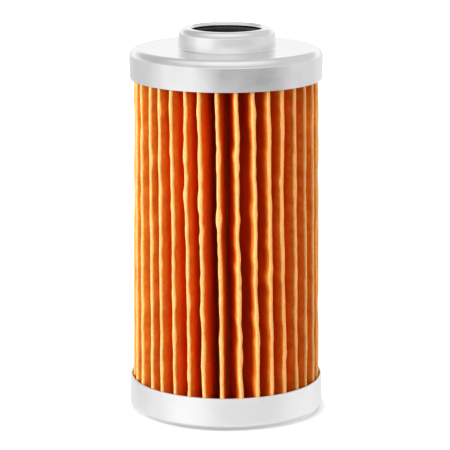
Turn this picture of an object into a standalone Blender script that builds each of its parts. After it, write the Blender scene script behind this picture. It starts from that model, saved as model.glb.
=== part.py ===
"""Cartridge oil filter element: pleated paper between two pressed end caps.

The element stands on its closed end cap, with its axis on +Z and its origin at
the middle of the underside. Oil goes through the paper from outside, into the
centre tube, and out through the sealed neck. A relief valve in the closed end
lets oil past when the paper is clogged: its disc lifts off the cap, along +Z,
against a spring held by a cage.
"""

import math

import bmesh
import bpy
from mathutils import Vector

MM = 0.001

# Driving dimensions, in millimetres. GAP keeps neighbouring pieces apart.
GAP = 0.3
SHEET = 0.4
TOTAL_HEIGHT = 74.2

# Lower end cap: a plain cup with its middle pressed up around the relief hole.
LOWER_RADIUS = 18.65
LOWER_LIP_Z = 6.45
LOWER_CORNER = 0.9
RECESS_RADIUS = 12.2
RECESS_BEND = 0.6
RECESS_DEPTH = 2 * RECESS_BEND
RELIEF_HOLE_RADIUS = 3.5
SEAT_Z = RECESS_DEPTH + SHEET

# Upper end cap: skirt, shoulder, flat face and the neck with its turned-in rim.
UPPER_RADIUS = 18.4
SKIRT_TAPER = 0.1
SKIRT_LOW_Z = 64.65
FACE_Z = 70.4
SHOULDER = 1.5
NECK_RADIUS = 9.25
NECK_FOOT_BEND = 0.6
RIM_OUTER_BEND = 1.55
RIM_INNER_BEND = 0.55
RIM_HOLE_RADIUS = 6.65
FACE_UNDER_Z = FACE_Z - SHEET

# Seal in the neck, and the pressed ring that it stands on.
SEAL_BORE = 6.1
SEAL_RADIUS = 8.5
SEAL_EDGE = 0.5
RETAINER_SHEET = 0.5
RETAINER_RADIUS = 11.0
RETAINER_BORE = 6.5
RETAINER_BEND = 0.7
RETAINER_COLLAR = 1.5
RETAINER_TOP_Z = FACE_UNDER_Z - GAP
RETAINER_UNDER_Z = RETAINER_TOP_Z - RETAINER_SHEET

# Paper: one strip folded into a ring of pleats, its two ends meeting at +Y.
# The ring widens downwards by PAPER_FLARE, towards the wider lower cap.
PLEATS = 35
PAPER = 0.4
PAPER_FLARE = 1.022
TIP_RADIUS = 17.5
VALLEY_RADIUS = 9.3
FOLD_WIDTH = 1.0
PAPER_LOW_Z = 3.2
PAPER_TOP_Z = 67.3
PAPER_END_RADIUS = 16.3

# Clip: a channel pressed over the two ends of the strip.
CLIP_SHEET = 0.3
CLIP_HALF_WIDTH = 1.25
CLIP_RADIUS = 17.3
CLIP_DEPTH = 3.0

# Centre tube: a grid of round holes in steel sheet.
TUBE_RADIUS = 9.0
TUBE_LOW_Z = 2.6
TUBE_TOP_Z = RETAINER_UNDER_Z - GAP
HOLE_COLUMNS = 8
HOLE_ROWS = 8
HOLE_RADIUS = 1.7

# Relief valve.
CAGE_LOW_Z = SEAT_Z + GAP
CAGE_TOP_Z = 13.0
CAGE_RADIUS = 6.5
CAGE_FLANGE_RADIUS = 9.0
CAGE_BEND = 0.6
CAGE_GUIDE_RADIUS = 1.3
WINDOW_WIDTH = 5.4
WINDOW_LOW_Z = 4.2
WINDOW_TOP_Z = 11.2
FACING_RADIUS = 5.0
FACING_THICKNESS = 1.2
DISC_RADIUS = 5.7
DISC_RIM = 1.8
DISC_BEND = 0.6
STEM_RADIUS = 0.9
STEM_HEAD_RADIUS = 1.9
STEM_HEAD = 0.6
STEM_TOP_Z = 14.4
STEM_CLEARANCE = 0.3
SPRING_RADIUS = 3.6
SPRING_WIRE = 0.55
SPRING_TURNS = 6
SPRING_STEPS_PER_TURN = 14
SPRING_SIDES = 5

ROUND_STEPS = 40
SMALL_ROUND_STEPS = 24


def clear_scene():
    """Remove every object, so that the script starts from nothing."""
    for item in list(bpy.data.objects):
        bpy.data.objects.remove(item, do_unlink=True)


def material(name, colour, roughness, metallic):
    """Make a plain surface of one colour."""
    surface = bpy.data.materials.new(name)
    surface.use_nodes = True
    shader = surface.node_tree.nodes["Principled BSDF"]
    shader.inputs["Base Color"].default_value = (*colour, 1.0)
    shader.inputs["Roughness"].default_value = roughness
    shader.inputs["Metallic"].default_value = metallic
    return surface


def finish(name, bm, surface, sharp_degrees=35.0):
    """Turn a bmesh that is drawn in millimetres into a named object."""
    bmesh.ops.scale(bm, vec=(MM, MM, MM), verts=bm.verts)
    bmesh.ops.recalc_face_normals(bm, faces=bm.faces)
    mesh = bpy.data.meshes.new(name)
    bm.to_mesh(mesh)
    bm.free()
    mesh.materials.append(surface)
    mesh.shade_smooth()
    mesh.set_sharp_from_angle(angle=math.radians(sharp_degrees))
    piece = bpy.data.objects.new(name, mesh)
    bpy.context.scene.collection.objects.link(piece)
    return piece


def arc(centre, radius, start, end, steps=3):
    """Points on an arc, in (radius, height), from one angle in degrees to another."""
    points = []
    for step in range(steps + 1):
        angle = math.radians(start + (end - start) * step / steps)
        points.append((centre[0] + radius * math.cos(angle), centre[1] + radius * math.sin(angle)))
    return points


def offset(path, distance):
    """Shift an open path to its left, keeping it parallel."""
    shifted = []
    for index, point in enumerate(path):
        here = Vector(point)
        sides = []
        if index > 0:
            sides.append((here - Vector(path[index - 1])).normalized())
        if index < len(path) - 1:
            sides.append((Vector(path[index + 1]) - here).normalized())
        normals = [Vector((-side.y, side.x)) for side in sides]
        normal = (normals[0] + normals[-1]).normalized()
        shifted.append(tuple(here + normal * distance / normal.dot(normals[0])))
    return shifted


def turned(name, profile, steps, surface):
    """Spin a profile of (radius, height) points about Z into a closed body.

    A profile that starts and ends on the axis is left open there, and any
    other is closed into a ring.
    """
    bm = bmesh.new()
    verts = [bm.verts.new((radius, 0.0, height)) for radius, height in profile]
    edges = [bm.edges.new(pair) for pair in zip(verts, verts[1:])]
    if profile[0][0] > 0.0:
        edges.append(bm.edges.new((verts[-1], verts[0])))
    bmesh.ops.spin(bm, geom=verts + edges, cent=(0, 0, 0), axis=(0, 0, 1), angle=math.tau,
                   steps=steps, use_merge=True)
    bmesh.ops.remove_doubles(bm, verts=bm.verts, dist=0.0001)
    return finish(name, bm, surface)


def pressed(name, path, thickness, steps, surface):
    """Spin sheet metal, from the path of its outer face; the metal is to its left."""
    return turned(name, path + offset(path, thickness)[::-1], steps, surface)


def extruded(name, outline, low_z, top_z, surface, flare=1.0):
    """Raise a closed outline of (x, y) points into a body; flare widens its lower end."""
    bm = bmesh.new()
    low_verts = [bm.verts.new((x * flare, y * flare, low_z)) for x, y in outline]
    raised = bmesh.ops.extrude_face_region(bm, geom=[bm.faces.new(low_verts)])
    top_verts = [item for item in raised["geom"] if isinstance(item, bmesh.types.BMVert)]
    bmesh.ops.scale(bm, verts=top_verts, vec=(1 / flare, 1 / flare, 1.0))
    bmesh.ops.translate(bm, verts=top_verts, vec=(0, 0, top_z - low_z))
    bmesh.ops.triangulate(bm, faces=[item for item in bm.faces if len(item.verts) > 4])
    return finish(name, bm, surface)


def box_cutter(name, size, centre):
    """A box that only cuts."""
    bm = bmesh.new()
    bmesh.ops.create_cube(bm, size=1.0)
    bmesh.ops.scale(bm, vec=size, verts=bm.verts)
    bmesh.ops.translate(bm, vec=centre, verts=bm.verts)
    cutter = finish(name, bm, material("cutter", (1.0, 0.2, 0.2), 0.5, 0.0))
    cutter.hide_render = True
    cutter.display_type = "WIRE"
    return cutter


def upper_end_cap(surface):
    """Skirt, shoulder, flat face, neck, and a rim that turns into the neck."""
    path = [(UPPER_RADIUS - SKIRT_TAPER, SKIRT_LOW_Z)]
    path += arc((UPPER_RADIUS - SHOULDER, FACE_Z - SHOULDER), SHOULDER, 0, 90)
    foot = (NECK_RADIUS + NECK_FOOT_BEND, FACE_Z + NECK_FOOT_BEND)
    path += arc(foot, NECK_FOOT_BEND, 270, 180, 2)
    crown = (NECK_RADIUS - RIM_OUTER_BEND, TOTAL_HEIGHT - RIM_OUTER_BEND)
    path += arc(crown, RIM_OUTER_BEND, 0, 90)
    turn_in = (RIM_HOLE_RADIUS + RIM_INNER_BEND, TOTAL_HEIGHT - RIM_INNER_BEND)
    path += arc(turn_in, RIM_INNER_BEND, 90, 180)
    return pressed("upper_end_cap", path, SHEET, ROUND_STEPS, surface)


def lower_end_cap(surface):
    """Lip, corner, standing ring, and the pressed-up middle with its relief hole."""
    path = [(RELIEF_HOLE_RADIUS, RECESS_DEPTH)]
    path += arc((RECESS_RADIUS, RECESS_DEPTH - RECESS_BEND), RECESS_BEND, 90, 0, 2)
    path += arc((RECESS_RADIUS + 2 * RECESS_BEND, RECESS_BEND), RECESS_BEND, 180, 270, 2)[1:]
    path += arc((LOWER_RADIUS - LOWER_CORNER, LOWER_CORNER), LOWER_CORNER, 270, 360)
    path += [(LOWER_RADIUS, LOWER_LIP_Z)]
    return pressed("lower_end_cap", path, SHEET, ROUND_STEPS, surface)


def neck_seal(surface):
    """Rubber ring under the rim, with its bore edges rounded off."""
    low_z = RETAINER_TOP_Z + GAP
    top_z = TOTAL_HEIGHT - RIM_INNER_BEND - GAP
    profile = [(SEAL_BORE, low_z + SEAL_EDGE), (SEAL_BORE + SEAL_EDGE, low_z)]
    profile += [(SEAL_RADIUS, low_z), (SEAL_RADIUS, top_z - SEAL_EDGE), (SEAL_RADIUS - SEAL_EDGE, top_z)]
    profile += [(SEAL_BORE + SEAL_EDGE, top_z), (SEAL_BORE, top_z - SEAL_EDGE)]
    return turned("neck_seal", profile, ROUND_STEPS, surface)


def seal_retainer(surface):
    """Flat pressed ring with a short collar that turns down into the tube."""
    path = [(RETAINER_RADIUS, RETAINER_TOP_Z)]
    path += arc((RETAINER_BORE + RETAINER_BEND, RETAINER_TOP_Z - RETAINER_BEND), RETAINER_BEND, 90, 180)
    path += [(RETAINER_BORE, RETAINER_TOP_Z - RETAINER_COLLAR)]
    return pressed("seal_retainer", path, RETAINER_SHEET, ROUND_STEPS, surface)


def upper_potting(surface):
    """Adhesive ring between the pleats and the upper cap, stepped around the retainer."""
    low_z = PAPER_TOP_Z + GAP
    top_z = FACE_UNDER_Z - GAP
    bend = SHOULDER - SHEET - GAP
    profile = [(TUBE_RADIUS + GAP, low_z), (UPPER_RADIUS - SHEET - GAP, low_z)]
    profile += arc((UPPER_RADIUS - SHOULDER, FACE_Z - SHOULDER), bend, 0, 90)
    profile += [(RETAINER_RADIUS + GAP, top_z), (RETAINER_RADIUS + GAP, RETAINER_UNDER_Z - GAP)]
    profile += [(TUBE_RADIUS + GAP, RETAINER_UNDER_Z - GAP)]
    return turned("upper_potting", profile, ROUND_STEPS, surface)


def lower_potting(surface):
    """Adhesive ring between the pleats and the lower cap, over its pressed-up middle."""
    top_z = PAPER_LOW_Z - GAP
    bend = LOWER_CORNER - SHEET - GAP
    step_radius = RECESS_RADIUS + RECESS_BEND + SHEET + GAP
    profile = [(TUBE_RADIUS + GAP, top_z), (TUBE_RADIUS + GAP, SEAT_Z + GAP)]
    profile += [(step_radius, SEAT_Z + GAP), (step_radius + GAP, SHEET + GAP)]
    profile += arc((LOWER_RADIUS - LOWER_CORNER, LOWER_CORNER), bend, 270, 360)
    profile += [(LOWER_RADIUS - SHEET - GAP, top_z)]
    return turned("lower_potting", profile, ROUND_STEPS, surface)


def polar(radius, angle, sideways=0.0):
    """A point at a radius and an angle from +Y, shifted across that direction."""
    x = -radius * math.sin(angle) + sideways * -math.cos(angle)
    y = radius * math.cos(angle) + sideways * -math.sin(angle)
    return (x, y)


def pleated_media(surface):
    """The folded strip, as the line along its middle with half the paper on each side."""
    half = PAPER / 2
    fold = (FOLD_WIDTH - PAPER) / 2
    pitch = math.tau / PLEATS
    line = [polar(PAPER_END_RADIUS, 0.0, half + GAP / 2)]
    for pleat in range(PLEATS):
        valley = pitch * (pleat + 0.5)
        line += [polar(VALLEY_RADIUS + half, valley, -fold), polar(VALLEY_RADIUS + half, valley, fold)]
        if pleat < PLEATS - 1:
            tip = pitch * (pleat + 1)
            line += [polar(TIP_RADIUS - half, tip, -fold), polar(TIP_RADIUS - half, tip, fold)]
    line += [polar(PAPER_END_RADIUS, 0.0, -half - GAP / 2)]
    outline = offset(line, -half) + offset(line, half)[::-1]
    return extruded("pleated_media", outline, PAPER_LOW_Z, PAPER_TOP_Z, surface, PAPER_FLARE)


def media_seam_clip(surface):
    """Channel over the two ends of the strip, open towards the axis."""
    outer = CLIP_HALF_WIDTH
    inner = CLIP_HALF_WIDTH - CLIP_SHEET
    foot = CLIP_RADIUS - CLIP_DEPTH
    outline = [(-outer, foot), (-inner, foot), (-inner, CLIP_RADIUS - CLIP_SHEET)]
    outline += [(inner, CLIP_RADIUS - CLIP_SHEET), (inner, foot), (outer, foot)]
    outline += [(outer, CLIP_RADIUS), (-outer, CLIP_RADIUS)]
    return extruded("media_seam_clip", outline, PAPER_LOW_Z, PAPER_TOP_Z, surface)


def centre_tube(surface):
    """Sheet steel tube, made cell by cell, with a round hole in each cell."""
    bm = bmesh.new()
    cell_angle = math.tau / HOLE_COLUMNS
    cell_height = (TUBE_TOP_Z - TUBE_LOW_Z) / HOLE_ROWS
    edge_steps = ((1, 0), (1, 1), (0, 1), (-1, 1), (-1, 0), (-1, -1), (0, -1), (1, -1))
    whole_border = range(len(edge_steps))
    upper_border = (1, 2)
    lower_border = (5, 6)

    def bent(radius, angle, height):
        return bm.verts.new((radius * math.cos(angle), radius * math.sin(angle), height))

    def ring_pair(radius, angle, height):
        hole = []
        border = []
        for number, (across, up) in enumerate(edge_steps):
            turn = math.tau * number / len(edge_steps)
            hole_angle = angle + HOLE_RADIUS * math.cos(turn) / TUBE_RADIUS
            hole.append(bent(radius, hole_angle, height + HOLE_RADIUS * math.sin(turn)))
            border.append(bent(radius, angle + across * cell_angle / 2, height + up * cell_height / 2))
        return hole, border

    def strip(first, second, numbers):
        for number in numbers:
            after = (number + 1) % len(first)
            bm.faces.new((first[number], first[after], second[after], second[number]))

    for column in range(HOLE_COLUMNS):
        for row in range(HOLE_ROWS):
            angle = cell_angle * (column + 0.5)
            height = TUBE_LOW_Z + cell_height * (row + 0.5)
            outer_hole, outer_border = ring_pair(TUBE_RADIUS, angle, height)
            inner_hole, inner_border = ring_pair(TUBE_RADIUS - SHEET, angle, height)
            strip(outer_hole, outer_border, whole_border)
            strip(inner_hole, inner_border, whole_border)
            strip(outer_hole, inner_hole, whole_border)
            if row == 0:
                strip(outer_border, inner_border, lower_border)
            if row == HOLE_ROWS - 1:
                strip(outer_border, inner_border, upper_border)
    bmesh.ops.remove_doubles(bm, verts=bm.verts, dist=0.0001)
    return finish("centre_tube", bm, surface)


def valve_cage(surface):
    """Pressed cage: flange under the tube, four legs, and a guide hole in its top."""
    path = [(CAGE_FLANGE_RADIUS, CAGE_LOW_Z + SHEET)]
    path += arc((CAGE_RADIUS + CAGE_BEND, CAGE_LOW_Z + SHEET + CAGE_BEND), CAGE_BEND, 270, 180, 2)
    path += arc((CAGE_RADIUS - CAGE_BEND, CAGE_TOP_Z - CAGE_BEND), CAGE_BEND, 0, 90)
    path += [(CAGE_GUIDE_RADIUS, CAGE_TOP_Z)]
    cage = pressed("valve_cage", path, SHEET, SMALL_ROUND_STEPS, surface)
    height = WINDOW_TOP_Z - WINDOW_LOW_Z
    middle = (0, 0, (WINDOW_TOP_Z + WINDOW_LOW_Z) / 2)
    length = 2 * CAGE_FLANGE_RADIUS
    windows = {"window_x": (length, WINDOW_WIDTH, height), "window_y": (WINDOW_WIDTH, length, height)}
    for name, size in windows.items():
        cut = cage.modifiers.new(name, "BOOLEAN")
        cut.operation = "DIFFERENCE"
        cut.object = box_cutter(name, size, middle)
    return cage


def relief_valve(steel, rubber):
    """Facing, dished disc and stem, which lift together."""
    bore = STEM_RADIUS + STEM_CLEARANCE
    facing_low = SEAT_Z + GAP
    facing_top = facing_low + FACING_THICKNESS
    profile = [(bore, facing_low), (FACING_RADIUS, facing_low)]
    profile += [(FACING_RADIUS, facing_top), (bore, facing_top)]
    facing = turned("valve_facing", profile, SMALL_ROUND_STEPS, rubber)

    disc_low = facing_top + GAP
    path = [(bore, disc_low)]
    path += arc((DISC_RADIUS - DISC_BEND, disc_low + DISC_BEND), DISC_BEND, 270, 360)
    path += [(DISC_RADIUS, disc_low + DISC_RIM)]
    disc = pressed("valve_disc", path, SHEET, SMALL_ROUND_STEPS, steel)

    head_top = facing_low - GAP
    head_low = head_top - STEM_HEAD
    profile = [(0.0, head_low), (STEM_HEAD_RADIUS, head_low), (STEM_HEAD_RADIUS, head_top)]
    profile += [(STEM_RADIUS, head_top), (STEM_RADIUS, STEM_TOP_Z), (0.0, STEM_TOP_Z)]
    stem = turned("valve_stem", profile, SMALL_ROUND_STEPS // 2, steel)
    return facing, disc, stem


def relief_spring(surface):
    """Coil spring between the disc and the cage, its turns worked out as a helix."""
    disc_top = SEAT_Z + GAP + FACING_THICKNESS + GAP + SHEET
    low_z = disc_top + GAP + SPRING_WIRE / 2
    top_z = CAGE_TOP_Z - SHEET - GAP - SPRING_WIRE / 2
    total = SPRING_TURNS * SPRING_STEPS_PER_TURN
    bm = bmesh.new()
    rings = []
    for step in range(total + 1):
        angle = math.tau * step / SPRING_STEPS_PER_TURN
        height = low_z + (top_z - low_z) * step / total
        ring = []
        for side in range(SPRING_SIDES):
            turn = math.tau * side / SPRING_SIDES
            radius = SPRING_RADIUS + SPRING_WIRE / 2 * math.cos(turn)
            z = height + SPRING_WIRE / 2 * math.sin(turn)
            ring.append(bm.verts.new((radius * math.cos(angle), radius * math.sin(angle), z)))
        rings.append(ring)
    for first, second in zip(rings, rings[1:]):
        for side in range(SPRING_SIDES):
            after = (side + 1) % SPRING_SIDES
            bm.faces.new((first[side], first[after], second[after], second[side]))
    bm.faces.new(rings[0])
    bm.faces.new(rings[-1])
    return finish("relief_spring", bm, surface)


def build():
    """Make every piece of the element."""
    clear_scene()
    upper_end_cap(material("upper_cap_steel", (0.80, 0.80, 0.80), 0.30, 1.0))
    lower_end_cap(material("lower_cap_steel", (0.82, 0.82, 0.82), 0.30, 1.0))
    neck_seal(material("seal_rubber", (0.02, 0.02, 0.02), 0.50, 0.0))
    seal_retainer(material("retainer_steel", (0.60, 0.60, 0.60), 0.35, 1.0))
    upper_potting(material("upper_adhesive", (0.55, 0.30, 0.12), 0.45, 0.0))
    lower_potting(material("lower_adhesive", (0.55, 0.30, 0.12), 0.45, 0.0))
    pleated_media(material("filter_paper", (0.90, 0.45, 0.12), 0.75, 0.0))
    media_seam_clip(material("clip_steel", (0.65, 0.65, 0.65), 0.35, 1.0))
    centre_tube(material("tube_steel", (0.55, 0.55, 0.55), 0.40, 1.0))
    valve_cage(material("cage_steel", (0.60, 0.60, 0.60), 0.35, 1.0))
    relief_valve(material("valve_steel", (0.62, 0.60, 0.55), 0.30, 1.0),
                 material("facing_rubber", (0.03, 0.03, 0.03), 0.55, 0.0))
    relief_spring(material("spring_steel", (0.50, 0.50, 0.50), 0.30, 1.0))


build()
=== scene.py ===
"""Looks of a cartridge oil filter element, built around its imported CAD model.

Every CAD node is replaced here by a finer piece in the same place: pressed caps
with round sheet edges, creased and rippled filter paper, a perforated tube, and
the relief valve in the closed end. Lengths are in metres, +Z up, front at -Y.
"""

import math
import random
from collections import namedtuple

import bmesh
import bpy
import numpy as np
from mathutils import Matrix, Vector, noise


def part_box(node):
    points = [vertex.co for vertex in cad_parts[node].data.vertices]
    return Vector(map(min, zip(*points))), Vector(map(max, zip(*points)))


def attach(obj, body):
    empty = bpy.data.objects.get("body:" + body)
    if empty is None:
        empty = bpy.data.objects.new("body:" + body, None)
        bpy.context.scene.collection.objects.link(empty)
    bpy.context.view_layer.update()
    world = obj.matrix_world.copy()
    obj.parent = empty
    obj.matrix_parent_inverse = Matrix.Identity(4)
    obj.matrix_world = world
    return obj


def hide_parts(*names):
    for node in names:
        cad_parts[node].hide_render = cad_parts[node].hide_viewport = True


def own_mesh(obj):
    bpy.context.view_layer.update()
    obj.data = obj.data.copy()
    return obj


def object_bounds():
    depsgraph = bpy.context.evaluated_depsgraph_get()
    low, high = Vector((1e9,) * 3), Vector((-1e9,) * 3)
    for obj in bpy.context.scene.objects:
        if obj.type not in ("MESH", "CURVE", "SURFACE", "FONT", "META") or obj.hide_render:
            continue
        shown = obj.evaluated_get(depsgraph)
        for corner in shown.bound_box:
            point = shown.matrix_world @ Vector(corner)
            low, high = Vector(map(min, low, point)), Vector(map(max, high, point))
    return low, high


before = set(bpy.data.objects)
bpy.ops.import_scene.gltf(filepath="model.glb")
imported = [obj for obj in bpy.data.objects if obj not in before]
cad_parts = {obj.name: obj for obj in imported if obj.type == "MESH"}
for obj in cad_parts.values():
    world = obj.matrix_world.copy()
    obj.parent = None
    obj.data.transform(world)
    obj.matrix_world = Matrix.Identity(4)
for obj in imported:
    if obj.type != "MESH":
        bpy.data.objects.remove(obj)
cad_low, cad_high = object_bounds()

MM = 0.001
SHEET = 0.4 * MM

# Outlines of the CAD nodes, read from the frame.
upper_low, upper_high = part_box("upper_end_cap")
lower_low, lower_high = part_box("lower_end_cap")
seal_low, seal_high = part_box("neck_seal")
retainer_low, retainer_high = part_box("seal_retainer")
upper_glue_low, upper_glue_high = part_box("upper_potting")
lower_glue_low, lower_glue_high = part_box("lower_potting")
paper_low, paper_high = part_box("pleated_media")
clip_low, clip_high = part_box("media_seam_clip")
tube_low, tube_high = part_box("centre_tube")
cage_low, cage_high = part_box("valve_cage")
disc_low, disc_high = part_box("valve_disc")
facing_low, facing_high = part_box("valve_facing")
stem_low, stem_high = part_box("valve_stem")
spring_low, spring_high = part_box("relief_spring")

# The shoulder and the neck's rim bend on TIGHT_BEND for the first TIGHT_TURN degrees.
TIGHT_BEND = 0.5 * MM
TIGHT_TURN = 25

# Upper cap, above its skirt.
FACE_Z = 70.4 * MM
SHOULDER_BEND = 2.0 * MM
SKIRT_TAPER = 0.08 * MM
NECK_RADIUS = 9.25 * MM
NECK_DRAFT = 0.08 * MM
NECK_SHIFT = 0.15 * MM
SHIFT_FADE = 4.0 * MM
NECK_FOOT_BEND = 0.2 * MM
RIM_OUTER_BEND = 1.55 * MM
RIM_INNER_BEND = 0.55 * MM
RIM_HOLE_RADIUS = 6.65 * MM

# Lower cap: its corner, and its pressed-up middle.
LOWER_CORNER = 1.3 * MM
RECESS_RADIUS = 12.2 * MM
RECESS_BEND = 0.6 * MM
RELIEF_HOLE_RADIUS = 3.5 * MM

# Paper. Its folds stand further out towards the closed end. FRONT_FOLDS are the azimuths in degrees of the
# uneven folds at the front, at the top of the paper. The others only scatter a little.
PLEATS = 35
FRONT_FOLDS = (-66, -54.5, -46, -36, -26, -17, -5.5, 6, 16.5, 26.5, 36, 46.5, 57, 69)
FOLD_SCATTER = 1.1
PAPER = 0.34 * MM
TIP_RADIUS_AT_ZERO = 18.16 * MM
TIP_SLOPE = -0.0086
VALLEY_RADIUS = 9.3 * MM
FOLD_RADIUS = 0.17 * MM
VALLEY_BEND = 0.26 * MM
PAPER_END_RADIUS = 16.3 * MM
WALL_STEPS = 4
PAPER_LEVELS = 98
CLIP_LEVELS = 130

# How far a fold leans on its way down, in degrees: the mean, the swing round the element, and its peak.
LEAN = 1.5
LEAN_SWING = 2.2
LEAN_PEAK = -8

# Unevenness of the paper: how large, over what height it varies, and its seed. The two drifts are in radians.
Waves = namedtuple("Waves", "size length seed")
LONG_DRIFT = Waves(0.008, 14 * MM, 2.0)
SHORT_DRIFT = Waves(0.004, 5 * MM, 6.0)
TIP_WOBBLE = Waves(0.16 * MM, 6 * MM, 3.0)
SWELL = Waves(0.33 * MM, 3.9 * MM, 4.0)
CRINKLE = Waves(0.10 * MM, 1.7 * MM, 5.0)
BOW = Waves(0.14 * MM, 9 * MM, 8.0)
SWELL_FLOOR = 0.12
SWELL_CEILING = 0.8

# Seal, tube and valve.
SEAL_BORE_RADIUS = 6.1 * MM
RETAINER_SHEET = 0.5 * MM
RETAINER_BORE_RADIUS = 6.5 * MM
RETAINER_BEND = 0.7 * MM
TUBE_RADIUS = 9.0 * MM
HOLE_RADIUS = 1.7 * MM
HOLE_COLUMNS = 8
HOLE_ROWS = 8
CAGE_RADIUS = 6.5 * MM
CAGE_BEND = 0.6 * MM
GUIDE_HOLE_RADIUS = 1.3 * MM
WINDOW_WIDTH = 5.4 * MM
WINDOW_LOW_Z = 4.2 * MM
WINDOW_TOP_Z = 11.2 * MM
WINDOW_BEND = 0.9 * MM
DISC_BEND = 0.6 * MM
STEM_RADIUS = 0.9 * MM
SPRING_WIRE = 0.55 * MM
SPRING_TURNS = 6.5
SPRING_CLOSED_TURNS = 0.9

# Even light for dull surfaces, and the floor. Its emission rises from one value to the other between the two
# distances from the axis in PAINTED_SHADOW_SPAN; the low value near the element paints a contact shadow.
AMBIENT = 0.11
FLOOR_HALF_WIDTH = 4.0
FLOOR_DROP = 0.02 * MM
FLOOR_GLOW = (0.12, 0.80)
PAINTED_SHADOW_SPAN = (18.4 * MM, 23.0 * MM)

# Softboxes: name, azimuth and elevation in degrees, distance and side in metres, brightness and colour.
WHITE = (1.0, 1.0, 1.0)
SOFTBOXES = (
    ("key_softbox", -55, 16, 0.60, 0.42, 10.4, WHITE),
    ("fill_softbox", 78, 12, 0.60, 0.36, 5.9, (1.0, 0.78, 0.68)),
    ("front_softbox", 18, 10, 0.60, 0.22, 5.0, (1.0, 0.82, 0.72)),
    ("back_softbox", 176, 14, 0.60, 0.44, 5.5, WHITE),
    ("top_softbox", 0, 78, 0.80, 0.60, 2.4, WHITE),
)

# What mirrors in the metal: belts of (elevation in degrees, brightness), and over them panels of (azimuth,
# elevation, half width, half height in degrees, brightness), which fade out from these shares of their size.
PANEL_FULL_WIDTH = 0.25
PANEL_FULL_HEIGHT = 0.5
MIRRORED_GAIN = 1.30
MIRRORED_BELTS = ((-90, 0.40), (-62, 0.52), (-42, 0.63), (-28, 0.74), (-22, 0.85), (-17, 0.92), (-14, 0.60),
                  (-9, 0.64), (-3, 0.71), (15, 0.62), (50, 0.58), (66, 0.76), (80, 0.89))
MIRRORED_PANELS = (
    (180, 13, 75, 8, 0.91),
    (0, 7.5, 60, 6, 1.10),
    (-140, 38, 75, 17, 0.46),
    (-56, -12, 52, 40, 0.79),
    (-46, -20, 44, 6.5, 1.02),
    (-58, 0, 34, 8, 1.02),
    (-125, -8, 34, 12, 0.58),
    (150, -8, 34, 12, 0.70),
    (180, -20, 62, 7, 0.72),
    (5, -19, 66, 4.5, 1.00),
    (27, -11.6, 68, 4.8, 0.20),
)

# Camera: lens and sensor in millimetres, place in metres, and how far it looks down in degrees.
LENS = 187.6
SENSOR = 36.0
CAMERA_PLACE = (-0.21 * MM, -440.7 * MM, 135.6 * MM)
CAMERA_PITCH = 12.76

# Steps round a turned piece and over a cut edge, how far that edge bulges in half thicknesses, and the share
# of a line's length at which it has guards.
ROUND = 192
SMALL_ROUND = 96
STEM_ROUND = 48
EDGE_STEPS = 5
EDGE_BULGE = 0.6
SHEARED_BULGE = 0.15
GUARD = 0.012


# ---------------------------------------------------------------- shapes

def on_ring(radius, azimuth, height):
    """A point at an azimuth in radians, counted from the front towards +X."""
    return (radius * math.sin(azimuth), -radius * math.cos(azimuth), height)


def arc(centre, radius, start, end, steps=10):
    """Points on an arc in (radius, height), between two angles in degrees."""
    turns = [math.radians(start + (end - start) * step / steps) for step in range(steps + 1)]
    return [(centre[0] + radius * math.cos(turn), centre[1] + radius * math.sin(turn)) for turn in turns]


def eased_bend(wall_radius, top, bend):
    """Points from an upright wall over to a flat top, on a bend that starts tight and then opens out."""
    turn = math.radians(TIGHT_TURN)
    growth = bend - TIGHT_BEND
    foot = (wall_radius - TIGHT_BEND, top - bend + growth * math.sin(turn))
    middle = (foot[0] - growth * math.cos(turn), top - bend)
    return arc(foot, TIGHT_BEND, 0, TIGHT_TURN, 5) + arc(middle, bend, TIGHT_TURN, 90, 10)[1:]


def line(start, end, steps, guard=0.0):
    """Points from start to end, without the end point.

    A guard adds a point at that share of the length from each end, so that smooth shading stays on the bend.
    """
    run = (end[0] - start[0], end[1] - start[1])
    shares = [step / steps for step in range(steps)]
    if guard:
        shares = [0.0, guard] + shares[1:] + [1.0 - guard]
    return [(start[0] + run[0] * share, start[1] + run[1] * share) for share in shares]


def normals_of(points):
    """Left-hand unit normals of an open path, averaged at each point."""
    points = np.asarray(points, float)
    ahead = np.diff(points, axis=0)
    ahead /= np.linalg.norm(ahead, axis=1)[:, None]
    tangent = np.vstack([ahead[:1], ahead[:-1] + ahead[1:], ahead[-1:]])
    tangent /= np.linalg.norm(tangent, axis=1)[:, None]
    return np.column_stack([-tangent[:, 1], tangent[:, 0]])


def sheet_outline(path, thickness, edge_bulge=EDGE_BULGE):
    """Closed outline of sheet metal that lies to the left of a path, with its two cut edges rounded."""
    path = np.asarray(path, float)
    normal = normals_of(path)
    inner = path + normal * thickness
    outline = list(map(tuple, path))

    def cut_edge(end, before, across):
        """Adds points over a cut edge, from the path's side to the inner side or back."""
        middle = (path[end] + inner[end]) / 2
        along = path[end] - path[before]
        along /= np.linalg.norm(along)
        for step in range(1, EDGE_STEPS):
            turn = math.pi * step / EDGE_STEPS
            bulge = across * math.cos(turn) + along * math.sin(turn) * edge_bulge
            outline.append(tuple(middle + bulge * thickness / 2))

    cut_edge(-1, -2, -normal[-1])
    outline += list(map(tuple, inner[::-1]))
    cut_edge(0, 1, normal[0])
    return outline


def mesh_object(name, vertices, faces, surface, smooth_degrees=40.0):
    """A smooth-shaded object with outward faces."""
    mesh = bpy.data.meshes.new(name)
    mesh.from_pydata(vertices, [], faces)
    bm = bmesh.new()
    bm.from_mesh(mesh)
    bmesh.ops.remove_doubles(bm, verts=bm.verts, dist=1e-7)
    bmesh.ops.recalc_face_normals(bm, faces=bm.faces)
    bm.to_mesh(mesh)
    bm.free()
    mesh.shade_smooth()
    mesh.set_sharp_from_angle(angle=math.radians(smooth_degrees))
    mesh.materials.append(surface)
    piece = bpy.data.objects.new(name, mesh)
    bpy.context.scene.collection.objects.link(piece)
    return piece


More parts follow.
